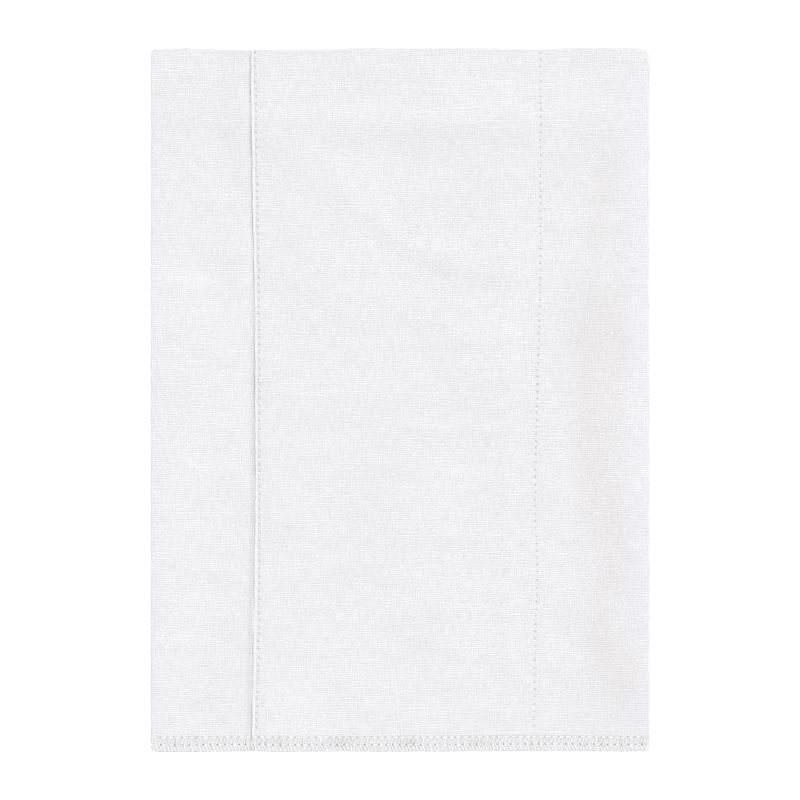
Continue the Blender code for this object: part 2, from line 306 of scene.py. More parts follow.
class Station:
    """One place along the cloth, with its key lines and the heights of its layers."""

    def __init__(self, y):
        self.y = y
        from_top = max(HALF_LENGTH - y, 0)
        from_bottom = max(HALF_LENGTH + y, 0)
        bottom_cut = corner_cut(from_bottom, BOTTOM_CORNER)
        self.left = -HALF_WIDTH + corner_cut(from_top, TOP_LEFT_CORNER) + bottom_cut
        self.right = self.line("right_fold") - corner_cut(from_top, TOP_RIGHT_CORNER) - bottom_cut
        self.free_edge, self.face_seam = self.line("free_edge"), self.line("face_seam")
        self.back_seam = self.line("back_seam")
        self.hidden_edge = self.back_seam + HIDDEN_MARGIN
        self.bound = bell(from_bottom, BINDING_REACH)
        self.loose = bell(y - LOOSEST_AT, LOOSE_REACH)
        self.swell = ease((SWELL_FROM - y) / (SWELL_FROM - SWELL_FULL)) * (1 - self.bound)
        self.thinner = EDGE_THINNER + EDGE_FLATTER * self.swell
        flatter = FLATTER_SHARE * ease((y - FLATTER_FROM) / FLATTER_RUN)
        self.closed = 1 - ease(from_bottom / LOFT_RUN)
        self.lofted = ease(from_bottom / LOFT_RUN) * (1 - flatter)
        self.drop = SHOULDER_DROP + SHARPER_DROP * ease((y + SHARPER_RUN) / SHARPER_RUN)
        self.from_top = from_top

    def line(self, column):
        return follow(RUNS, column, self.y)

    def pressed(self, x):
        """1 where the layers are sewn together, 0 in the open cloth."""
        return max(self.bound, *(bell(x - seam, SEAM_REACH) for seam in (self.face_seam, self.back_seam)))

    def thick(self, x):
        return OPEN_THICK + (SEWN_THICK - OPEN_THICK) * self.pressed(x)

    def gap(self, x):
        return OPEN_GAP + (SEWN_GAP - OPEN_GAP) * self.pressed(x)

    def level(self, x, layers_below):
        """The middle of a layer's thickness, above the table."""
        thick = self.thick(x)
        return thick / 2 + THREAD_UNDER * self.bound + (thick + self.gap(x)) * layers_below

    def edge_swell(self, x):
        """The rise of the panel below the free edge, and of the free edge with it."""
        reach = UNDER_EDGE_REACH if x < self.free_edge else self.face_seam - self.free_edge
        return UNDER_EDGE * self.swell * bell(x - self.free_edge, reach)

    def back(self, x):
        return self.level(x, 0)

    def open_share(self, x):
        """0 at the seams, the right side and the bound end, and 1 away from them."""
        away = min(abs(x - self.face_seam), abs(x - self.back_seam), self.right - x)
        return ease(away / CREASES_FROM) * (1 - self.bound)

    def under_face(self, x):
        """The middle layer without its creases. Past the hidden edge it comes down to the table."""
        sag = ease((x - self.hidden_edge) / MIDDLE_SAG)
        closer = CLOSER * self.open_share(x) * (1 - sag) if x > self.face_seam else 0
        return self.level(x, 1 - sag) - closer

    def middle(self, x):
        loft = LEFT_LOFT * self.loose * ease((LEFT_LOFT_AT - x) / LEFT_LOFT_RUN)
        covered = ease((self.face_seam + 1 - x) / (self.face_seam + 1 - self.free_edge))
        loft += creased("middle", x, self.y) * ease((x - self.left) / PANEL_MARGIN) * covered
        return self.under_face(x) + loft * (1 - self.bound) + self.edge_swell(x)

    def face(self, x):
        sewn = SEWN_THICK / 2 + THREAD_UNDER * self.bound + (SEWN_THICK + SEWN_GAP) * 2
        over = self.level(x, 2)
        height = over + (sewn - over) * ease((x - self.back_seam + SEAM_DIP_REACH) / SEAM_DIP_REACH)
        crest = ease((x - VALLEY_AT) / (CREST_AT - VALLEY_AT)) * self.lofted
        shoulder = ease((x - CREST_AT) / (HALF_WIDTH - CREST_AT)) * self.lofted
        height += RIGHT_LOFT * crest - self.drop * shoulder
        # past the hidden edge only two layers are left, and the binding closes them on each other
        height -= (SEWN_THICK + SEWN_GAP) * self.closed * ease((x - self.hidden_edge) / MIDDLE_SAG)
        from_edge = x - self.free_edge
        room = height - self.thick(x) - self.under_face(x) - LEAST_GAP
        dip = creased("face", x, self.y) * self.open_share(x)
        height += SOFTNESS * math.log1p(math.exp((dip + room) / SOFTNESS)) - room
        height -= (self.thinner / 2 + EDGE_PRESS) * bell(from_edge, EDGE_REACH)
        return height + self.edge_swell(x)


middle_station = Station(0)
for spot in (-100, -60, 0, 69, 90, 117):
    print(f"x {spot} mm: middle {middle_station.middle(spot):.2f}, face {middle_station.face(spot):.2f} mm")

# %% [markdown]
# ## The section, as one line
#
# Seen from its end the cloth is one line that runs back and forth: from the hidden edge along the back,
# round the left fold, across the middle, round the right fold, and over the face to the free edge. The
# line is a list of places, close together where the cloth bends and where it is sewn, and far apart where
# it is hidden.

# %% Places along the section
FOLD_STEPS = 10
FOLD_RUN = 0.65  # a fold turns within this width
SEAM_FAN = (0.16, 0.34, 0.55, 0.8, 1.1, 1.5)  # fine columns beside a seam on the face
SEAM_NEAR = 3.5
RAGGED = ((0.26, 3.1, 0.5), (0.2, 9, 4.5))  # height, length and start of the waves in a pressed edge


def between(start, end, steps):
    """Places from start to end, without the end itself."""
    return [start + (end - start) * k / steps for k in range(steps)]


def turn(side, outside, low, high, thick):
    """The middle line round a fold, from the lower layer to the upper one. side is +1 at the right."""
    rise = (high - low) / 2
    run = min(rise, FOLD_RUN)
    centre = outside - side * (thick / 2 + run)
    angles = [math.pi * (k / FOLD_STEPS - 0.5) for k in range(FOLD_STEPS + 1)]
    return [(centre + side * run * math.cos(a), low + rise + rise * math.sin(a)) for a in angles]


def fan(seam):
    """Places on both sides of a seam, from right to left."""
    return [seam + d for d in reversed(SEAM_FAN)] + [seam] + [seam - d for d in SEAM_FAN]


def wobble(y):
    """The small unevenness of a pressed free edge."""
    return sum(height * noise.noise((y / run, start, 0)) for height, run, start in RAGGED)


Place = namedtuple("Place", "x z layer")


def section(s):
    """The middle line of the doubled cloth at one station, from the hidden edge to the free edge."""
    left_turn = turn(-1, s.left, s.back(s.left), s.middle(s.left), s.thick(s.left))
    right_turn = turn(1, s.right, s.middle(s.right), s.face(s.right), s.thick(s.right))
    inner_left, inner_right = left_turn[0][0], right_turn[0][0]

    back = [s.hidden_edge, s.back_seam + 1, s.back_seam, s.back_seam - 1]
    back += between(s.back_seam - SEAM_NEAR, s.face_seam + SEAM_NEAR, 7)
    back += [s.face_seam + SEAM_NEAR, s.face_seam + 1, s.face_seam, s.face_seam - 1]
    back += between(s.face_seam - SEAM_NEAR, inner_left, 4)

    middle = between(inner_left, s.free_edge - 6, 16)[1:]
    middle += [s.free_edge + d for d in (-6, -4.4, -3.2, -2.3, -1.6, -1, -0.5, 0, 0.6)]
    middle += [s.face_seam, s.face_seam + SEAM_NEAR]
    middle += between(s.face_seam + 6, s.back_seam - SEAM_NEAR, 7)
    middle += [s.back_seam - SEAM_NEAR, s.back_seam]
    middle += between(s.hidden_edge, s.hidden_edge + MIDDLE_SAG, 5)
    middle += between(s.hidden_edge + MIDDLE_SAG, inner_right, 4)

    face = between(inner_right, s.back_seam + 5.2, 20)[1:]
    face += [s.back_seam + d for d in (5.2, 3.8, 2.5)]
    face += fan(s.back_seam)
    face += [s.back_seam - d for d in (2.5, 3.8, 5.2, 7.2)]
    face += between(s.back_seam - 9.8, s.face_seam + 9, 38)
    face += [s.face_seam + d for d in (9, 6.8, 4.9, 3.4, 2.3)]
    face += fan(s.face_seam)
    start, end = s.face_seam - SEAM_FAN[-1], s.free_edge
    face += [start + (end - start) * share for share in (0.35, 0.65, 0.85, 1)]

    line = [Place(x, s.back(x), "back") for x in back]
    line += [Place(x, z, "left turn") for x, z in left_turn]
    line += [Place(x, s.middle(x), "middle") for x in middle]
    line += [Place(x, z, "right turn") for x, z in right_turn]
    line += [Place(x, s.face(x), "face") for x in face]
    return line


def square_off(before, here, after):
    """The mitred normal of the line at one of its places."""
    normals = []
    for start, end in ((before, here), (here, after)):
        length = math.hypot(end.x - start.x, end.z - start.z)
        if length > 0:  # the first and last places have one neighbour only
            normals.append(((end.z - start.z) / length, (start.x - end.x) / length))
    first, last = normals[0], normals[-1]
    scale = 1 + first[0] * last[0] + first[1] * last[1]
    return (first[0] + last[0]) / scale, (first[1] + last[1]) / scale


print("places across:", len(section(middle_station)))

# %% [markdown]
# ## From a line to a doubled cloth
#
# The cotton is one long piece. A warp thread runs up through the layer, round the doubling fold at the
# far end, and back down beside itself. Each row of the mesh therefore has a station and an angle: 0 on
# the way up, half a turn on the way down, and in between round the fold. An outer skin and an inner skin
# at each row give the single cotton its own thickness, and a rounded rim joins them at the edges and at
# the cut end.
#
# A flat map of the unfolded cotton goes with the mesh, in metres: how far across from the free edge, and
# how far along. The weave is drawn on that map, so it runs round the folds as real threads do.

# %% Rows along the cloth
PLY_SHARE = 0.43  # of the doubled cloth's thickness is one cotton layer
FOLD_SWELL = 0.25  # the doubling fold is this much fatter
FOLD_SWELL_REACH = 3.5
DOUBLING_STEPS = 8
NEEDLE_ROWS = (3.25, 6.95)  # the two rows of needle holes in the binding, from the cut end
BINDING_ROWS = (0, 0.3, 0.9, 1.8)
BINDING_ROWS += tuple(row + d for row in NEEDLE_ROWS for d in (-0.55, -0.35, -0.17, 0, 0.17, 0.35, 0.55))
BINDING_ROWS += (8.2, 9.5)
FOLD_ROWS = (6.5, 4.2, 2.6, 1.5, 0.8, 0.3, 0)
OPEN_ROWS = 122
LAYER_INSET = {"back": 0.5, "left turn": 0.35, "middle": 0.25, "right turn": 0.1, "face": 0}
CLOTH_END_INSET = 0.4  # the threads of the binding stand proud of the cut end by this much

length = 2 * HALF_LENGTH
up_rows = [d / length for d in BINDING_ROWS]
up_rows += between(13 / length, 1 - 9.5 / length, OPEN_ROWS)
up_rows += [1 - d / length for d in (9.5,) + FOLD_ROWS]
Row = namedtuple("Row", "share angle")
ROWS = [Row(share, 0) for share in up_rows]
ROWS += [Row(1, math.pi * k / DOUBLING_STEPS) for k in range(1, DOUBLING_STEPS)]
ROWS += [Row(share, math.pi) for share in reversed(up_rows)]
print("rows along the unfolded cotton:", len(ROWS))


# %% Corner points of the mesh
def skins(station, row):
    """Outer and inner points across one row, and how far each lies from the free edge along the cloth."""
    line = section(station)
    steps = [math.hypot(b.x - a.x, b.z - a.z) for a, b in zip(line, line[1:])]
    across = list(accumulate(reversed(steps), initial=0))[::-1]
    rows = []
    for i, place in enumerate(line):
        nx, nz = square_off(line[max(i - 1, 0)], place, line[min(i + 1, len(line) - 1)])
        half = station.thick(place.x) / 2
        if place.layer == "face":
            half -= station.thinner / 2 * bell(place.x - station.free_edge, EDGE_REACH)
        half *= 1 + FOLD_SWELL * bell(station.from_top, FOLD_SWELL_REACH)
        inner = half * (1 - 2 * PLY_SHARE)
        end = follow(REACHES, "fold_end", place.x) - half - LAYER_INSET[place.layer]
        start = follow(REACHES, "bound_end", place.x) + CLOTH_END_INSET
        y = start + (end - start) * row.share
        pair = []
        for reach in (half, inner):
            side = reach * math.cos(row.angle)
            pair.append((place.x + side * nx, y + reach * math.sin(row.angle), place.z + side * nz))
        rows.append((pair[0], pair[1], across[i], y - start))
    return rows


stations = {share: Station(HALF_LENGTH * (2 * share - 1)) for share in up_rows}
grid = [skins(stations[row.share], row) for row in ROWS]
COLUMNS = len(grid[0])
flat_along = grid[len(up_rows) - 1][COLUMNS // 2][3]  # from the cut end to the doubling fold
flat_width = grid[len(up_rows) // 2][0][2]
print(f"the unfolded cotton is {flat_width:.0f} by {2.0 * flat_along:.0f} mm")

# %% [markdown]
# ## Needle holes
#
# A needle leaves a small hole, and the thread presses a furrow between two holes. The shade in each hole is
# also painted dark onto the cotton (painted shade).
# Stitches made on soft cotton are never all the same length, so the holes are laid out with a little
# scatter. A fixed seed makes the same scatter each time.

# %% Lay out the holes
STITCH = 3.65
BINDING_STITCH = 3.5
FIRST_STITCH, LAST_STITCH = 2.6, 8  # from the doubling fold, and from the cut end
BINDING_FROM, BINDING_TO = 5.2, 2.5  # from the left side, and from the right side
SEAM_ASIDE, SEAM_UNEVEN = 0.09, 0.26  # how far the holes stray, across and along the seam
BINDING_ASIDE, LOWER_UNEVEN, UPPER_UNEVEN = 0.06, 0.1, 0.12
scatter = random.Random(11)


def seam_holes(column):
    """Places of the needle holes along one seam, from the doubling fold to the binding."""
    y, holes = HALF_LENGTH - FIRST_STITCH, []
    while y > -HALF_LENGTH + LAST_STITCH:
        holes.append((follow(RUNS, column, y) + scatter.gauss(0, SEAM_ASIDE), y))
        y -= STITCH + scatter.gauss(0, SEAM_UNEVEN)
    return holes


SEAMS = ("face_seam", "back_seam")
SEAM_HOLES = {seam: seam_holes(seam) for seam in SEAMS}
LOWER_HOLES, x = [], -HALF_WIDTH + BINDING_FROM
while x < HALF_WIDTH - BINDING_TO:
    y = follow(REACHES, "bound_end", x) + CLOTH_END_INSET + NEEDLE_ROWS[0]
    LOWER_HOLES.append((x, y + scatter.gauss(0, BINDING_ASIDE)))
    x += BINDING_STITCH + scatter.gauss(0, LOWER_UNEVEN)
ROW_GAP = NEEDLE_ROWS[1] - NEEDLE_ROWS[0]
UPPER_HOLES = [(x + scatter.gauss(0, UPPER_UNEVEN), y + ROW_GAP) for x, y in LOWER_HOLES]
print("stitches in the seams:", [len(holes) for holes in SEAM_HOLES.values()])
print("stitches in the binding:", len(LOWER_HOLES))

# %% [markdown]
# ## The cotton as a mesh
#
# bmesh joins the rows into one closed body. Columns beside the seams are already close together; the rows
# are not, so the strips along the seams and the two needle rows of the binding are cut finer here and
# nowhere else. That keeps the mesh light where the cloth is plain.

# %% Join the rows
bm = bmesh.new()
# the last two layers hold a faint tint, and painted shade (painted light where it is below 0)
LAYERS = ("across", "along", "inside", "hole", "warmth", "grey")
for name in LAYERS:
    bm.verts.layers.float.new(name)
# the hole layer holds painted shade in the needle holes
across_layer, along_layer, inside_layer, hole_shade_layer, warmth_layer, painted_shading_layer = (
    bm.verts.layers.float[name] for name in LAYERS
)
cuts_layer = bm.edges.layers.int.new("cuts")


def corner(point, across, along, inside):
    vert = bm.verts.new([MM * value for value in point])
    vert[across_layer] = MM * across
    vert[along_layer] = MM * along
    vert[inside_layer] = inside
    return vert


last_row, last_column = len(ROWS) - 1, COLUMNS - 1
NEAR_FOLD, INNER_STEP = 0.97, 4  # the inner skin has all rows near the doubling fold, and elsewhere a few
edge_rows = {0, last_row} | {r for r, row in enumerate(ROWS) if row.share > NEAR_FOLD}
INNER_ROWS = [r for r in range(len(ROWS)) if r in edge_rows or min(r, last_row - r) % INNER_STEP == 0]
INNER_COLUMNS = [c for c in range(COLUMNS) if c in (0, last_column) or c % 2 == 0]
outer, inner = [], []
ROUND_FOLD = 2  # the cotton goes this far round the doubling fold
both_ways = 2 * flat_along + ROUND_FOLD
for r, (row, points) in enumerate(zip(ROWS, grid)):
    runs = [along if row.angle == 0 else both_ways - along for _, _, _, along in points]
    if 0 < row.angle < math.pi:
        runs = [flat_along + ROUND_FOLD * row.angle / math.pi for _ in points]
    outer.append([corner(p[0], p[2], run, 0) for p, run in zip(points, runs)])
    kept = INNER_COLUMNS if r in INNER_ROWS else []
    inner.append({c: corner(points[c][1], points[c][2], runs[c], 1) for c in kept})

skins_made = ((outer, list(range(len(ROWS))), list(range(COLUMNS))), (inner, INNER_ROWS, INNER_COLUMNS))
for skin, kept_rows, kept_columns in skins_made:
    for r, r2 in zip(kept_rows, kept_rows[1:]):
        for c, c2 in zip(kept_columns, kept_columns[1:]):
            bm.faces.new((skin[r][c], skin[r][c2], skin[r2][c2], skin[r2][c]))

# %% Round the cut edges
RIM = 0.22
border = [(0, c) for c in range(last_column)] + [(r, last_column) for r in range(last_row)]
border += [(last_row, c) for c in range(last_column, 0, -1)] + [(r, 0) for r in range(last_row, 0, -1)]


def rim_corner(r, c):
    """The point on the rounded rim, half a cotton layer in from the outer skin."""
    out = outer[r][c]
    inward = outer[min(max(r, 1), last_row - 1)][min(max(c, 1), last_column - 1)]
    side = (out.co - inward.co).normalized()
    middle = (Vector(grid[r][c][0]) + Vector(grid[r][c][1])) / 2 + side * RIM
    return corner(middle, out[across_layer] / MM, out[along_layer] / MM, 0.5)


rim = [rim_corner(r, c) for r, c in border]
held = [k for k, (r, c) in enumerate(border) if c in inner[r]]
for k, (r, c) in enumerate(border):
    r2, c2 = border[(k + 1) % len(border)]
    bm.faces.new((outer[r][c], outer[r2][c2], rim[(k + 1) % len(border)], rim[k]))
for k, k2 in zip(held, held[1:] + [len(border)]):
    (r, c), (r2, c2) = border[k], border[k2 % len(border)]
    strip = [rim[j % len(border)] for j in range(k, k2 + 1)]
    bm.faces.new(strip + [inner[r2][c2], inner[r][c]])

# %% Cut the sewn strips finer
SEAM_CUTS = 6
BINDING_CELL = 0.42
middle_line = section(middle_station)
bound_row = BINDING_ROWS.index(9.5)


def near_seam(x):
    """Whether a column runs along one of the seams or the free edge."""
    s = middle_station
    return x < s.face_seam + SEAM_FAN[-1] + 0.01 or abs(x - s.back_seam) < SEAM_FAN[-1] + 0.01


def ask_cuts(a, b, cuts):
    """Notes on one edge of the mesh how many times it is to be cut."""
    bm.edges.get((a, b))[cuts_layer] = cuts


strips = [c for c in range(COLUMNS) if middle_line[c].layer == "face" and near_seam(middle_line[c].x)]
for r in range(bound_row, len(up_rows) - 4):
    for c in strips:
        ask_cuts(outer[r][c], outer[r + 1][c], SEAM_CUTS)
    k = border.index((r, last_column))
    ask_cuts(rim[k], rim[k + 1], SEAM_CUTS)

for c, (place, after) in enumerate(zip(middle_line, middle_line[1:])):
    seen = place.layer == "face" or (place.layer == "middle" and place.x < middle_station.free_edge)
    cuts = math.ceil(abs(after.x - place.x) / BINDING_CELL) - 1
    for k, d in enumerate(BINDING_ROWS):
        if seen and cuts > 0 and min(abs(d - row) for row in NEEDLE_ROWS) < 0.4:
            r = k if place.layer == "face" else last_row - k
            ask_cuts(outer[r][c], outer[r][c + 1], cuts)

for cuts in sorted({e[cuts_layer] for e in bm.edges} - {0}):
    chosen = [e for e in bm.edges if e[cuts_layer] == cuts]
    bmesh.ops.subdivide_edges(bm, edges=chosen, cuts=cuts, use_grid_fill=True)
print("corners in the mesh:", len(bm.verts))

# %% Press the holes and furrows
HOLE_WIDTH, HOLE_DEPTH = 0.4, 0.6
FURROW_WIDTH, FURROW_DEPTH = 0.42, 0.2
LIP_HEIGHT, LIP_AT, LIP_WIDTH = 0.05, 0.75, 0.26
TIGHTNESS = {"face_seam": 1, "back_seam": 0.6}  # the seam through all the layers pulls less
LOWER_DEPTH, UPPER_DEPTH = 0.95, 0.45  # shares of the hole depth in the two rows of the binding
BACK_FURROW = 0.24  # the stitches on the back lie in a furrow this deep, so the cloth still lies flat
BACK_FURROW_HALF, ON_TABLE = 0.1, 0.02 * MM
RAGGED_WIDTH = 1.2 * MM  # the free edge is ragged over this width
BELOW_UPPER, BELOW_FACE = 1.8 * MM, 2.9 * MM  # the panel and the face lie above these heights
BOUND_TO = -165 * MM  # only the binding's holes lie nearer to the cut end
SEAM_SEARCH = 6  # a seam is looked for this near to its line at mid length
HOLE_SEARCH = 1  # a furrow runs straight to a hole this near


def nearest(value, values):
    return min(values, key=lambda other: abs(other - value))


def press_seam(column, vert):
    """Moves one corner of the face down into the furrow or hole of a seam."""
    x, y = vert.co.x / MM, vert.co.y / MM
    holes = seam_places[column]
    hole_y = nearest(y, holes)
    aside = x - (holes[hole_y] if abs(y - hole_y) < HOLE_SEARCH else follow(RUNS, column, y))
    if abs(aside) > SEAM_FAN[-1]:
        return
    pit = TIGHTNESS[column] * hole_depths[hole_y]
    pit *= math.exp(-(aside**2 + (y - hole_y) ** 2) / HOLE_WIDTH**2)
    furrow = math.exp(-((aside / FURROW_WIDTH) ** 2))
    lips = math.exp(-(((abs(aside) - LIP_AT) / LIP_WIDTH) ** 2))
    pressed = TIGHTNESS[column] * (LIP_HEIGHT * lips - FURROW_DEPTH * furrow)
    vert.co.z += MM * (pressed - HOLE_DEPTH * pit)
    # the pit is painted dark as well: painted shade in the hole
    vert[hole_shade_layer] = max(vert[hole_shade_layer], pit)


def press_binding(vert, holes):
    x, y = vert.co.x / MM, vert.co.y / MM
    near = min(holes, key=lambda hole: (hole[0] - x) ** 2 + (hole[1] - y) ** 2)
    depth = LOWER_DEPTH if near in LOWER_HOLES else UPPER_DEPTH
    pit = depth * math.exp(-((near[0] - x) ** 2 + (near[1] - y) ** 2) / HOLE_WIDTH**2)
    vert.co.z -= MM * HOLE_DEPTH * pit
    # the pit is painted dark as well: painted shade in the hole
    vert[hole_shade_layer] = max(vert[hole_shade_layer], pit)


hole_depths = {y: scatter.uniform(0.7, 1) for holes in SEAM_HOLES.values() for _, y in holes}
seam_places = {column: {y: x for x, y in holes} for column, holes in SEAM_HOLES.items()}
bm.normal_update()
for vert in bm.verts:
    on_outside = vert[inside_layer] == 0
    vert.tag = on_outside and abs(vert.normal.z) > 0.5
    from_edge = vert.co.x / MM - follow(RUNS, "free_edge", vert.co.y / MM)
    if vert.co.z > BELOW_UPPER and -0.5 < from_edge < 1 and vert[across_layer] < RAGGED_WIDTH:
        vert.co.x += MM * wobble(vert.co.y / MM) * (1 - max(from_edge, 0))
    from_seam = min(abs(vert.co.x / MM - follow(RUNS, seam, vert.co.y / MM)) for seam in SEAMS)
    if on_outside and abs(vert.co.z) < ON_TABLE and from_seam < BACK_FURROW_HALF:
        vert.co.z += MM * BACK_FURROW
for vert in bm.verts:
    if not vert.tag or vert.co.z < BELOW_UPPER:
        continue
    if vert.co.y < BOUND_TO:
        press_binding(vert, LOWER_HOLES + UPPER_HOLES)
    elif vert.co.z > BELOW_FACE:
        for seam in SEAMS:
            if abs(vert.co.x / MM - getattr(middle_station, seam)) < SEAM_SEARCH:
                press_seam(seam, vert)

# %% [markdown]
# ## Painted shade and tint on the cotton
#
# A table of soft patches paints a faint warm or cool tint onto the corners, together with painted
# shade in hollows and on slopes turned away from the lamp, and painted light, with amounts below 0,
# on slopes turned towards it.

# %% Faint patches of tint, painted shade and painted light
PATCH_TITLES = "x y reach_x reach_y warmth grey"
FACE_PATCHES = table_of(
    PATCH_TITLES,
    # painted shade and a warm tint in the hollow fold at the right
    (105, 112, 12, 26, 0.9, 1.6),
    (98, 86, 13, 34, 0.8, 1.2),
    (94, 24, 14, 62, 0.9, 1.7),
    (85.5, 40, 6, 32, 0.2, 1),
    (104, 20, 17, 66, 1, 0.7),
    (110, 40, 8, 80, 0.4, 0.7),
    (98, -40, 17, 60, 1.3, 1.5),
    (108, -68, 13, 34, 0.9, 1.4),
    (103, -96, 16, 24, 0.9, 1.5),
    (100, -124, 14, 30, 1.1, 2.4),
    (111, -136, 13, 30, 1, 1.8),
    (117, -105, 8, 70, 0.2, 1.2),
    # painted shade on the rest of the face, and painted light where the amount is below 0
    (10, 130, 78, 12, 0, 1),
    (4, 122, 22, 9, 0, 0.8),
    (100, 130, 32, 13, 0, 0.9),
    (20, -22, 38, 16, 0, 0.5),
    (46, 96, 10, 16, 0.2, 0.8),
    (46, 62, 9, 9, 0, 1),
    (-6, -70, 16, 46, 0, 0.5),
    (-50, -150, 26, 20, 0, -1.4),
    (57.5, -20, 6, 170, 0, -0.6),
)
PANEL_PATCHES = table_of(
    PATCH_TITLES,
    # painted shade near the free edge at the top, and painted light on the rest of the panel, with a cool
    # tint low down
    (-86, 146, 10, 36, 0.25, 2.3),
    (-82, 122, 7, 30, 0.3, 1.6),
    (-122, 156, 4, 18, 0.3, 0),
    (-104, 30, 26, 120, 0, -0.7),
    (-108, -90, 24, 110, -1, -1.6),
)
PATCHES = {"face": FACE_PATCHES, "middle": PANEL_PATCHES}

# painted shadow on the panel beside the free edge, and a painted highlight on the pressed edge itself
LIGHT_AT, SHADE_AT = 0.7, 0.6  # from the edge, and as a share of the reach
SHADES = table_of(
    "y reach grey lip",
    (-176, 2.4, 4, 0.6),
    (-120, 2.8, 3.6, 0.4),
    (-90, 2.6, 4, 0.2),
    (-60, 2, 6, 0.2),
    (0, 2, 7, 0.6),
    (45, 1.6, 6, 2),
    (85, 1.2, 5, 3),
    (110, 1.7, 3.8, 3),
    (176, 1.3, 3, 3),
)


# adds up one column of the patches: a tint, or painted shade and painted light
def patch_sum(layer, x, y, column):
    total = 0
    for patch in PATCHES[layer]:
        away = math.hypot((x - patch.x) / patch.reach_x, (y - patch.y) / patch.reach_y)
        total += getattr(patch, column) * bell(away, 1)
    return total


def edge_shade(x, y):
    """The painted shadow beside the free edge at one place; below 0, a painted highlight on the lip."""
    from_edge = x - follow(RUNS, "free_edge", y)
    if from_edge > 0:
        return -follow(SHADES, "lip", y) * bell(from_edge - LIGHT_AT, 1)
    reach = follow(SHADES, "reach", y)
    return follow(SHADES, "grey", y) * bell(from_edge + SHADE_AT * reach, reach)


# painted shade on the cotton between the threads of the binding, darkest at the inner needle row
BOUND_WIDTH, BOUND_SHADE, INNER_ROW_SHADE, INNER_ROW_REACH = 8.4, 2, 3, 1.2
for vert in bm.verts:
    if not vert.tag or vert.co.z <= BELOW_UPPER / 2:
        continue
    x, y = vert.co.x / MM, vert.co.y / MM
    layer = "face" if x > follow(RUNS, "free_edge", y) else "middle"
    # a faint tint, and painted shade from the patches and beside the free edge; below 0 it is painted light
    vert[warmth_layer] = patch_sum(layer, x, y, "warmth")
    vert[painted_shading_layer] = patch_sum(layer, x, y, "grey") + edge_shade(x, y)
    from_end = y - follow(REACHES, "bound_end", x)
    if from_end < BOUND_WIDTH:
        vert[painted_shading_layer] = BOUND_SHADE + INNER_ROW_SHADE * bell(from_end - NEEDLE_ROWS[1], INNER_ROW_REACH)

# %% Finish the cotton mesh
bmesh.ops.recalc_face_normals(bm, faces=bm.faces)
loose_ends = [e for e in bm.edges if len(e.link_faces) != 2]
triangles = sum(len(face.verts) - 2 for face in bm.faces)
print(f"cotton: {triangles} triangles, {len(loose_ends)} open edges")

# %% Lay the flat maps on the mesh
cotton_mesh = bpy.data.meshes.new("cotton")
bm.to_mesh(cotton_mesh)
bm.free()
cotton_mesh.shade_smooth()
marks = (cotton_mesh.attributes[name].data for name in ("across", "along"))
across, along = ([item.value for item in values] for values in marks)
threads_map = cotton_mesh.uv_layers.new(name="threads")
for loop in cotton_mesh.loops:
    v = loop.vertex_index
    threads_map.uv[loop.index].vector = (across[v], along[v])
cotton = add_object("cotton", cotton_mesh)
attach(cotton, "root")
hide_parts("cloth")

# %% [markdown]
# ## The weave
#
# This is a plain weave: each weft thread goes over one warp thread and under the next. The weft is
# thicker, so the cloth shows fine ribs across it. A group of nodes draws the crowns of both threads from
# the flat map and keeps the higher of the two at each place. It gives the height and how bright each
# thread is; where the height is low, between the threads, the material paints the cotton darker as
# painted shade. A second group draws loose fibres, and the thread of the seams uses it too.

# %% Small helpers for node groups
NUMBER = "NodeSocketFloat"


def new_group(name, numbers, results):
    """An empty shader group. It takes the flat map and named numbers, and gives named results."""
    tree = bpy.data.node_groups.new(name, "ShaderNodeTree")
    tree.interface.new_socket("Threads", in_out="INPUT", socket_type="NodeSocketVector")
    for label, value in numbers.items():
        tree.interface.new_socket(label, in_out="INPUT", socket_type=NUMBER).default_value = value
    for label in results:
        tree.interface.new_socket(label, in_out="OUTPUT", socket_type=NUMBER)
    return tree, tree.nodes.new("NodeGroupInput").outputs, tree.nodes.new("NodeGroupOutput").inputs


def plug(socket, value):
    """Links an output to a socket, or sets the socket to a value."""
    if isinstance(value, bpy.types.NodeSocket):
        socket.id_data.links.new(value, socket)
    else:
        socket.default_value = (*value, 1) if socket.type == "RGBA" else value


def add_node(tree, kind, sockets, **settings):
    """A shader node with its settings, and its inputs by name or number. Returns its outputs."""
    node = tree.nodes.new("ShaderNode" + kind)
    for name, value in settings.items():
        setattr(node, name, value)
    for label, value in sockets.items():
        plug(node.inputs[label], value)
    return node.outputs


def calc(operation, *values, clamp=False):
    """The result of a Math node, in the tree that its values come from."""
    tree = next(value.id_data for value in values if isinstance(value, bpy.types.NodeSocket))
    return add_node(tree, "Math", dict(enumerate(values)), operation=operation, use_clamp=clamp)[0]


def plus(a, b):
    return calc("ADD", a, b)


def minus(a, b):
    return calc("SUBTRACT", a, b)


def times(a, b):
    return calc("MULTIPLY", a, b)


def scaled(vector, amount):
    """A vector or a colour, times an amount."""
    return add_node(vector.id_data, "VectorMath", {0: vector, "Scale": amount}, operation="SCALE")[0]


def speckle(vector, scale, detail=2):
    """Noise, finer for a larger scale. Two scales, across and along, stretch it into streaks."""
    tree = vector.id_data
    if isinstance(scale, tuple):
        sockets = {0: vector, 1: (*scale, 1)}
        vector, scale = add_node(tree, "VectorMath", sockets, operation="MULTIPLY")[0], 1
    sockets = {"Vector": vector, "Scale": scale, "Detail": detail, "Roughness": 0.5}
    return add_node(tree, "TexNoise", sockets)["Fac"]


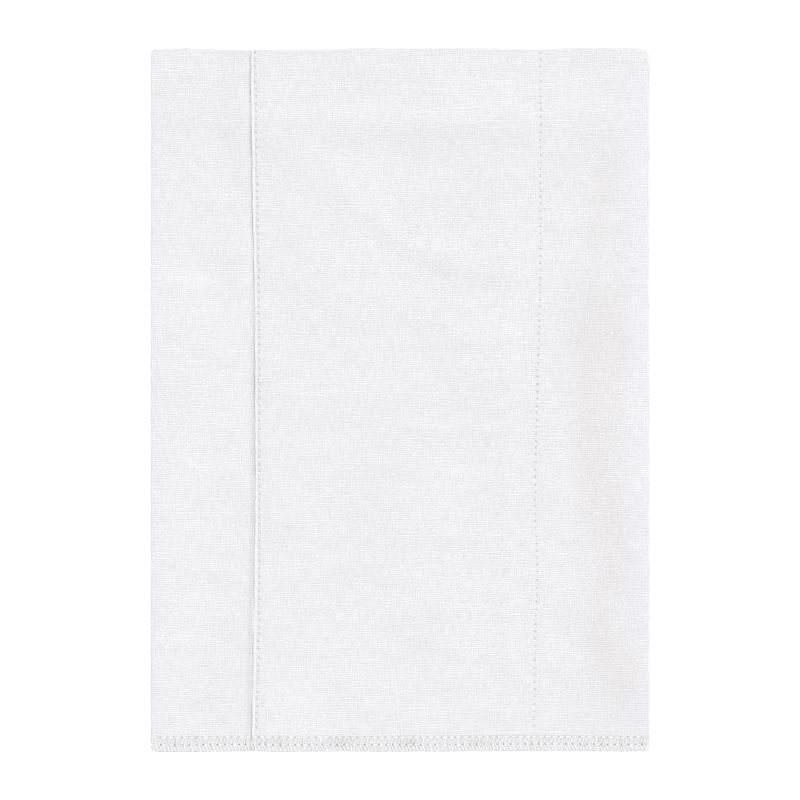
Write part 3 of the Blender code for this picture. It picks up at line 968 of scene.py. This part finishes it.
def blend(amount, first, second, kind="MIX"):
    """A colour between two others. As MULTIPLY it is the first one, tinted with the second."""
    sockets = {0: amount, 6: first, 7: second}
    return add_node(amount.id_data, "Mix", sockets, data_type="RGBA", blend_type=kind)[2]


def bump_up(shader, height, strength, distance):
    """Lets a height show on the surface."""
    sockets = {"Height": height, "Strength": strength, "Distance": distance * MM}
    plug(shader.inputs["Normal"], add_node(height.id_data, "Bump", sockets)["Normal"])


# %% The plain weave
WEFT_PITCH, WARP_PITCH = 0.95, 0.61
weave, given, result = new_group(
    "plain weave",
    {"Warp Pitch": WARP_PITCH * MM, "Weft Pitch": WEFT_PITCH * MM, "Crimp": 0.03},
    ("Height", "Tone"),
)
threads = given["Threads"]


def waver(scale, share):
    """How far the threads stray from their lines, in threads."""
    return times(minus(speckle(threads, scale), 0.5), share)


across_weave, along_weave, _ = add_node(weave, "SeparateXYZ", {0: threads})
warp = plus(calc("DIVIDE", across_weave, given["Warp Pitch"]), waver(60, 2.2))
waver_along = plus(waver((31, 19), 1.8), waver((75, 250), 1.5))
weft = plus(calc("DIVIDE", along_weave, given["Weft Pitch"]), waver_along)
warp_number, weft_number = calc("FLOOR", warp), calc("FLOOR", weft)
warp_place = minus(minus(warp, warp_number), 0.5)
weft_place = minus(minus(weft, weft_number), 0.5)
over = minus(times(calc("MODULO", plus(warp_number, weft_number), 2), 2), 1)


def crown(place, other, width, side):
    """The height of one set of threads: round across, and bent over and under the other set."""
    square = times(times(place, place), 4 / width**2)
    dome = calc("SQRT", calc("MAXIMUM", minus(1, square), 0))
    bend = times(calc("COSINE", times(other, math.pi)), given["Crimp"])
    return plus(dome, times(bend, times(over, side)))


WEFT_WIDE, WARP_WIDE = 0.95, 0.85  # of a pitch
WEFT_HIGH, WARP_HIGH = 0.85, 0.42
weft_crown = times(crown(weft_place, warp_place, WEFT_WIDE, 1), WEFT_HIGH)
warp_crown = times(crown(warp_place, weft_place, WARP_WIDE, -1), WARP_HIGH)
plug(result["Height"], calc("MAXIMUM", weft_crown, warp_crown))

# every thread is thicker in places, and no two are equally white
WEFT_SLUBS, WARP_SLUBS, NUBS, OTHER_WARP, OTHER_WEFT = 0.6, 1.1, 1.1, 1.5, 0.75
weft_slubs = times(speckle(threads, (480, 1000 / WEFT_PITCH)), WEFT_SLUBS)
warp_slubs = times(speckle(threads, (1150, 140)), WARP_SLUBS)
tone = plus(plus(weft_slubs, warp_slubs), times(speckle(threads, 950), NUBS))


def every_other(number, patch_scale, share):
    """Every second thread a little lighter or darker, here and there."""
    side = minus(times(calc("FLOORED_MODULO", number, 2), 2), 1)
    return times(times(side, minus(speckle(threads, patch_scale), 0.5)), share)


tone = plus(tone, every_other(warp_number, (105, 85), OTHER_WARP))
tone = plus(tone, every_other(weft_number, (70, 170), OTHER_WEFT))
MIDDLE_TONE = (WEFT_SLUBS + WARP_SLUBS + NUBS) / 2
plug(result["Tone"], calc("SUBTRACT", tone, MIDDLE_TONE - 0.5, clamp=True))

# %% Loose fibres
fuzz, given, result = new_group("loose fibres", {"Fineness": 1}, ("Height",))
fine_map = scaled(given["Threads"], given["Fineness"])
lengthwise = speckle(fine_map, (900, 4200), 3)
crosswise = speckle(fine_map, (3800, 800), 3)
plug(result["Height"], calc("MAXIMUM", lengthwise, crosswise))

# %% Cotton material
THREAD_DARK, THREAD_LIGHT = (0.74, 0.7385, 0.755), (0.94, 0.9375, 0.955)
# colours for painted shade in the weave's gaps and in the needle holes, and for a painted highlight along
# the free edge
GAP_SHADE_COLOUR, HOLE_SHADE_COLOUR, EDGE_HIGHLIGHT_COLOUR = (0.42, 0.42, 0.44), (0.1, 0.1, 0.11), (0.93, 0.93, 0.94)
WARM, COOL = (1, 0.982, 0.97), (0.985, 0.978, 1)
EDGE_HIGHLIGHT, EDGE_HIGHLIGHT_FADE = 1.3 * MM, 0.4 * MM  # painted highlight along the free edge: its width from the edge, and its fade
# the first number is how much one unit of painted shade darkens the cotton, or painted light brightens it
PAINTED_SHADING_STEP, CAST, CAST_SCALE, FIBRES = 0.0176, 0.06, 26, 0.4

cotton_finish, tree, shader = new_finish("bleached cotton")
set_inputs(shader, Roughness=0.92, Specular_IOR_Level=0.2, Sheen_Weight=0.12, Sheen_Roughness=0.6)
flat_map = add_node(tree, "UVMap", {}, uv_map="threads")["UV"]
hole, warmth, grey = (
    add_node(tree, "Attribute", {}, attribute_name=name)["Fac"] for name in ("hole", "warmth", "grey")
)
woven = add_node(tree, "Group", {"Threads": flat_map}, node_tree=weave)
fibres = add_node(tree, "Group", {"Threads": flat_map}, node_tree=fuzz)

gap_shade = calc("SUBTRACT", 1, woven["Height"], clamp=True)
across_map = add_node(tree, "SeparateXYZ", {0: flat_map})[0]
edge_highlight = calc("DIVIDE", minus(EDGE_HIGHLIGHT, across_map), EDGE_HIGHLIGHT_FADE, clamp=True)
colour = blend(woven["Tone"], THREAD_DARK, THREAD_LIGHT)
for amount, share, other in (
    # painted shade in the gaps between the threads
    (gap_shade, 0.76, GAP_SHADE_COLOUR),
    # painted shade in the needle holes
    (hole, 0.9, HOLE_SHADE_COLOUR),
    # painted highlight along the free edge
    (edge_highlight, 0.2, EDGE_HIGHLIGHT_COLOUR),
):
    colour = blend(times(amount, share), colour, other)
colour = blend(calc("MAXIMUM", warmth, 0, clamp=True), colour, WARM, "MULTIPLY")
colour = blend(calc("MULTIPLY", warmth, -1, clamp=True), colour, COOL, "MULTIPLY")
cast = times(minus(speckle(flat_map, CAST_SCALE, 3), 0.5), CAST)
# painted shade and painted light from the mesh, with a faint random mottle
shade = plus(times(grey, PAINTED_SHADING_STEP), cast)
plug(shader.inputs["Base Color"], scaled(colour, minus(1, shade)))
bump_up(shader, plus(woven["Height"], times(fibres["Height"], FIBRES)), strength=0.7, distance=0.18)
cotton_mesh.materials.append(cotton_finish)

# %% [markdown]
# ## Sewing thread
#
# A sewing thread is three strands twisted together. Each visible stitch is a short, slightly flattened
# tube with three lobes that turn along it. A function sweeps that outline along a list of points, and
# every stitch of a seam joins one mesh, because hundreds of separate objects would be slow and hard to
# handle.

# %% Sweep a twisted thread
LOBES, LOBE_DEPTH = 3, 0.15
SIDES = 9
END_SHARE = 0.45  # a thread is drawn in at its two ends


class ThreadMesh:
    """Collects twisted tubes and makes one mesh of them."""

    def __init__(self):
        self.points, self.faces, self.flat = [], [], []

    def sweep(self, path, ups, half_width, half_height, twist):
        """Adds one tube. path and ups are Vectors in millimetres, twist is the length of one turn."""
        start, travelled = len(self.points), 0
        for i, (here, up) in enumerate(zip(path, ups)):
            before, after = path[max(i - 1, 0)], path[min(i + 1, len(path) - 1)]
            ahead = (after - before).normalized()
            side = ahead.cross(up).normalized()
            top = side.cross(ahead)
            travelled += (here - before).length
            swell = END_SHARE if i in (0, len(path) - 1) else 1
            for k in range(SIDES):
                angle = 2 * math.pi * k / SIDES
                turned = LOBES * (angle - 2 * math.pi * travelled / twist)
                lobe = 1 - LOBE_DEPTH * (0.5 - 0.5 * math.cos(turned))
                out = side * math.cos(angle) * half_width + top * math.sin(angle) * half_height
                self.points.append(here + out * lobe * swell)
                self.flat.append((travelled, k / SIDES))
        last = start + (len(path) - 1) * SIDES
        for ring in range(start, last, SIDES):
            for k in range(SIDES):
                a, b = ring + k, ring + (k + 1) % SIDES
                self.faces.append((a, b, b + SIDES, a + SIDES))
        self.faces.append(tuple(start + k for k in reversed(range(SIDES))))
        self.faces.append(tuple(last + k for k in range(SIDES)))

    def make(self, name, finish):
        mesh = bpy.data.meshes.new(name)
        mesh.from_pydata([tuple(point * MM) for point in self.points], [], self.faces)
        mesh.shade_smooth()
        layer = mesh.uv_layers.new(name="thread")
        for polygon in mesh.polygons:
            around = [self.flat[v][1] for v in polygon.vertices]
            wraps = max(around) - min(around) > 0.5
            for loop, v in zip(polygon.loop_indices, polygon.vertices):
                travelled, turn_share = self.flat[v]
                turn_share += 1 if wraps and turn_share < 0.5 else 0
                layer.uv[loop].vector = (travelled * MM, turn_share * MM)
        mesh.materials.append(finish)
        piece = add_object(name, mesh)
        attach(piece, "root")
        print(name, "triangles:", sum(len(p.vertices) - 2 for p in mesh.polygons))


# %% Thread material
def thread_finish(name, light, valley_shade):
    """White thread, painted darker where its fibres lie low, as painted shade in the valleys between its
    strands.
    """
    finish, tree, shader = new_finish(name)
    set_inputs(shader, Roughness=0.7, Specular_IOR_Level=0.3, Sheen_Weight=0.15)
    own_map = add_node(tree, "UVMap", {}, uv_map="thread")["UV"]
    fibres = add_node(tree, "Group", {"Threads": own_map, "Fineness": 1.6}, node_tree=fuzz)["Height"]
    plug(shader.inputs["Base Color"], blend(fibres, valley_shade, light))
    bump_up(shader, fibres, strength=0.5, distance=0.05)
    return finish


# each thread: its light colour, and the darker colour of painted shade between its strands
seam_finish = thread_finish("seam thread", (0.84, 0.84, 0.85), (0.63, 0.63, 0.64))
binding_finish = thread_finish("binding thread", (0.95, 0.95, 0.945), (0.71, 0.71, 0.705))

# %% [markdown]
# ## The two seams
#
# A lockstitch looks the same on both sides. Each stitch comes up out of one hole, lies over the cloth and
# goes down the next hole. The ends lie a little to either side, which gives the row its slight slant.

# %% Lockstitches on the face and on the back
THREAD_HALF_WIDTH, THREAD_HALF_HEIGHT = 0.34, 0.22
STRAND_TURN = 2.2
STITCH_STEPS, STITCH_ARCH = 12, 0.6
LEAN = 0.03
HOLE_SHARE = 0.09  # of a stitch is hidden in the hole at each end


def top_of(x, y):
    """The upper surface of the folded cloth, without furrows."""
    s = Station(y)
    layer = s.face if x >= s.free_edge else s.middle
    return layer(x) + s.thick(x) / 2


def in_back_furrow(x, y):
    """Where the thread on the back runs: just inside the lower surface."""
    return BACK_FURROW


def stitch(mesh, start, end, surface, up_side, sink):
    """One lockstitch between two holes. surface gives the height of the cloth there."""
    path, ups = [], []
    for k in range(STITCH_STEPS + 1):
        share = HOLE_SHARE + (1 - 2 * HOLE_SHARE) * k / STITCH_STEPS
        x = start[0] + (end[0] - start[0]) * share + LEAN * (2 * share - 1)
        y = start[1] + (end[1] - start[1]) * share
        lift = math.sin(math.pi * k / STITCH_STEPS) ** STITCH_ARCH
        z = surface(x, y) + up_side * (sink[0] + (sink[1] - sink[0]) * lift)
        path.append(Vector((x, y, z)))
        ups.append(Vector((0, 0, up_side)))
    mesh.sweep(path, ups, THREAD_HALF_WIDTH, THREAD_HALF_HEIGHT, STRAND_TURN)


SEAM_SINK = {"face_seam": -0.04, "back_seam": -0.12}  # how deep a stitch lies in its furrow
FACE_ENDS, BACK_ENDS = -0.75, -0.6  # and how deep its ends lie in the holes
seam_stitches = ThreadMesh()
for column, holes in SEAM_HOLES.items():
    for start, end in zip(holes, holes[1:]):
        stitch(seam_stitches, start, end, top_of, 1, (FACE_ENDS, SEAM_SINK[column]))
        stitch(seam_stitches, start, end, in_back_furrow, -1, (BACK_ENDS, 0))
seam_stitches.make("seam_thread", seam_finish)

# %% [markdown]
# ## The bound end
#
# An overlock machine sews two rows with its needles and throws a looser thread back and forth between the
# rows and the edge. On the face that thread makes a zigzag: up to the inner row, under its stitch, and
# back over the edge. A second looper thread does the same on the back, and the two lock together round
# the cut end.

# %% Needle rows of the binding
BINDING_SINK = (-0.5, -0.1)  # at the ends and in the middle
binding_stitches = ThreadMesh()
for holes in (LOWER_HOLES, UPPER_HOLES):
    for start, end in zip(holes, holes[1:]):
        stitch(binding_stitches, start, end, top_of, 1, BINDING_SINK)

# %% Looper threads, front and back
LOOPER_HALF_WIDTH, LOOPER_HALF_HEIGHT = 0.3, 0.2
LOOPER_LIFT = 0.18  # above the cloth
SIDE_MARGIN = 0.5  # the outermost threads keep this far inside the sides
EDGE_RUN = 1.2  # a looper thread rises from the cut end over this length
EDGE_TILT = 0.6  # and lies tilted there
TIED_AT = 0.25  # a stitch grows and shrinks about this share of itself
LEAN_RUN = 7  # from the edge, a stitch has its whole lean
ROUND_EDGE = -0.2  # a distance between this and 0 is on the cut end itself
LOOP_LEAN, LOOP_SPREAD = 0.45, (0.75, 1.15)  # the scatter of its stitches
LOOPER_STEPS = 3


def smooth_path(points, steps):
    """A smooth curve through points, with some steps between each two."""
    path = []
    for i in range(len(points) - 1):
        p0, p1 = points[max(i - 1, 0)], points[i]
        p2, p3 = points[i + 1], points[min(i + 2, len(points) - 1)]
        for k in range(steps):
            t = k / steps
            bend = (2 * p0 - 5 * p1 + 4 * p2 - p3) * t * t
            twist = (3 * p1 - p0 - 3 * p2 + p3) * t**3
            path.append(0.5 * (2 * p1 + (p2 - p0) * t + bend + twist))
    return path + [points[-1]]


# one stitch of a looper: share of the stitch, and distance from the cut end, below 0 on the back
FRONT_LOOP = ((0.15, -0.1), (0.12, 0.7), (0.06, 1.6), (-0.05, 2.5), (-0.22, 3.6), (-0.1, 4.8), (0.08, 6.4))
FRONT_LOOP += ((0.22, 7.2), (0.38, 7.3), (0.5, 6.4), (0.4, 5), (0.26, 3.7), (0.42, 2.5), (0.53, 1.4))
FRONT_LOOP += ((0.6, 0.5), (0.68, -0.1), (0.92, -0.1))
BACK_LOOP = ((0.1, -0.1), (0.3, -0.1), (0.46, -0.1), (0.52, -0.8), (0.66, -3.6), (0.8, -6.6))
BACK_LOOP += ((0.92, -6.9), (1.02, -3.8), (1.08, -0.8))


def looper(loop, edge_lift):
    """One looper thread along the whole binding: its path, and which way is up along it."""
    placed, ups = [], []
    starts = [LOWER_HOLES[0][0] - BINDING_STITCH] + [x for x, _ in LOWER_HOLES]
    for x, after in zip(starts, starts[1:] + [starts[-1] + BINDING_STITCH]):
        lean = scatter.gauss(0, LOOP_LEAN)
        spread = scatter.uniform(*LOOP_SPREAD)
        for share, d in loop:
            at_x = x + (after - x) * (TIED_AT + (share - TIED_AT) * spread) + lean * abs(d) / LEAN_RUN
            at_x = min(max(at_x, -HALF_WIDTH + SIDE_MARGIN), HALF_WIDTH - SIDE_MARGIN)
            edge_y = follow(REACHES, "bound_end", at_x)
            top = top_of(at_x, edge_y + max(abs(d), EDGE_RUN))
            tilt = -EDGE_TILT if abs(d) < 1 else 0
            if ROUND_EDGE < d < 0:
                place, up = (edge_y - ROUND_EDGE, top / 2 + edge_lift), (-1, 0)
            elif d > 0:
                place, up = (edge_y + d, top + LOOPER_LIFT * min(d / EDGE_RUN, 1)), (tilt, 1)
            else:
                place, up = (edge_y - d, LOOPER_HALF_HEIGHT), (tilt, -1)
            placed.append(Vector((at_x, *place)))
            ups.append(Vector((0, *up)).normalized())
    return smooth_path(placed, LOOPER_STEPS), [up.normalized() for up in smooth_path(ups, LOOPER_STEPS)]


for loop, edge_lift in ((FRONT_LOOP, 0.5), (BACK_LOOP, -0.3)):
    path, ups = looper(loop, edge_lift)
    binding_stitches.sweep(path, ups, LOOPER_HALF_WIDTH, LOOPER_HALF_HEIGHT, STRAND_TURN)
binding_stitches.make("binding_thread", binding_finish)

# %% Update the scene
bpy.context.view_layer.update()
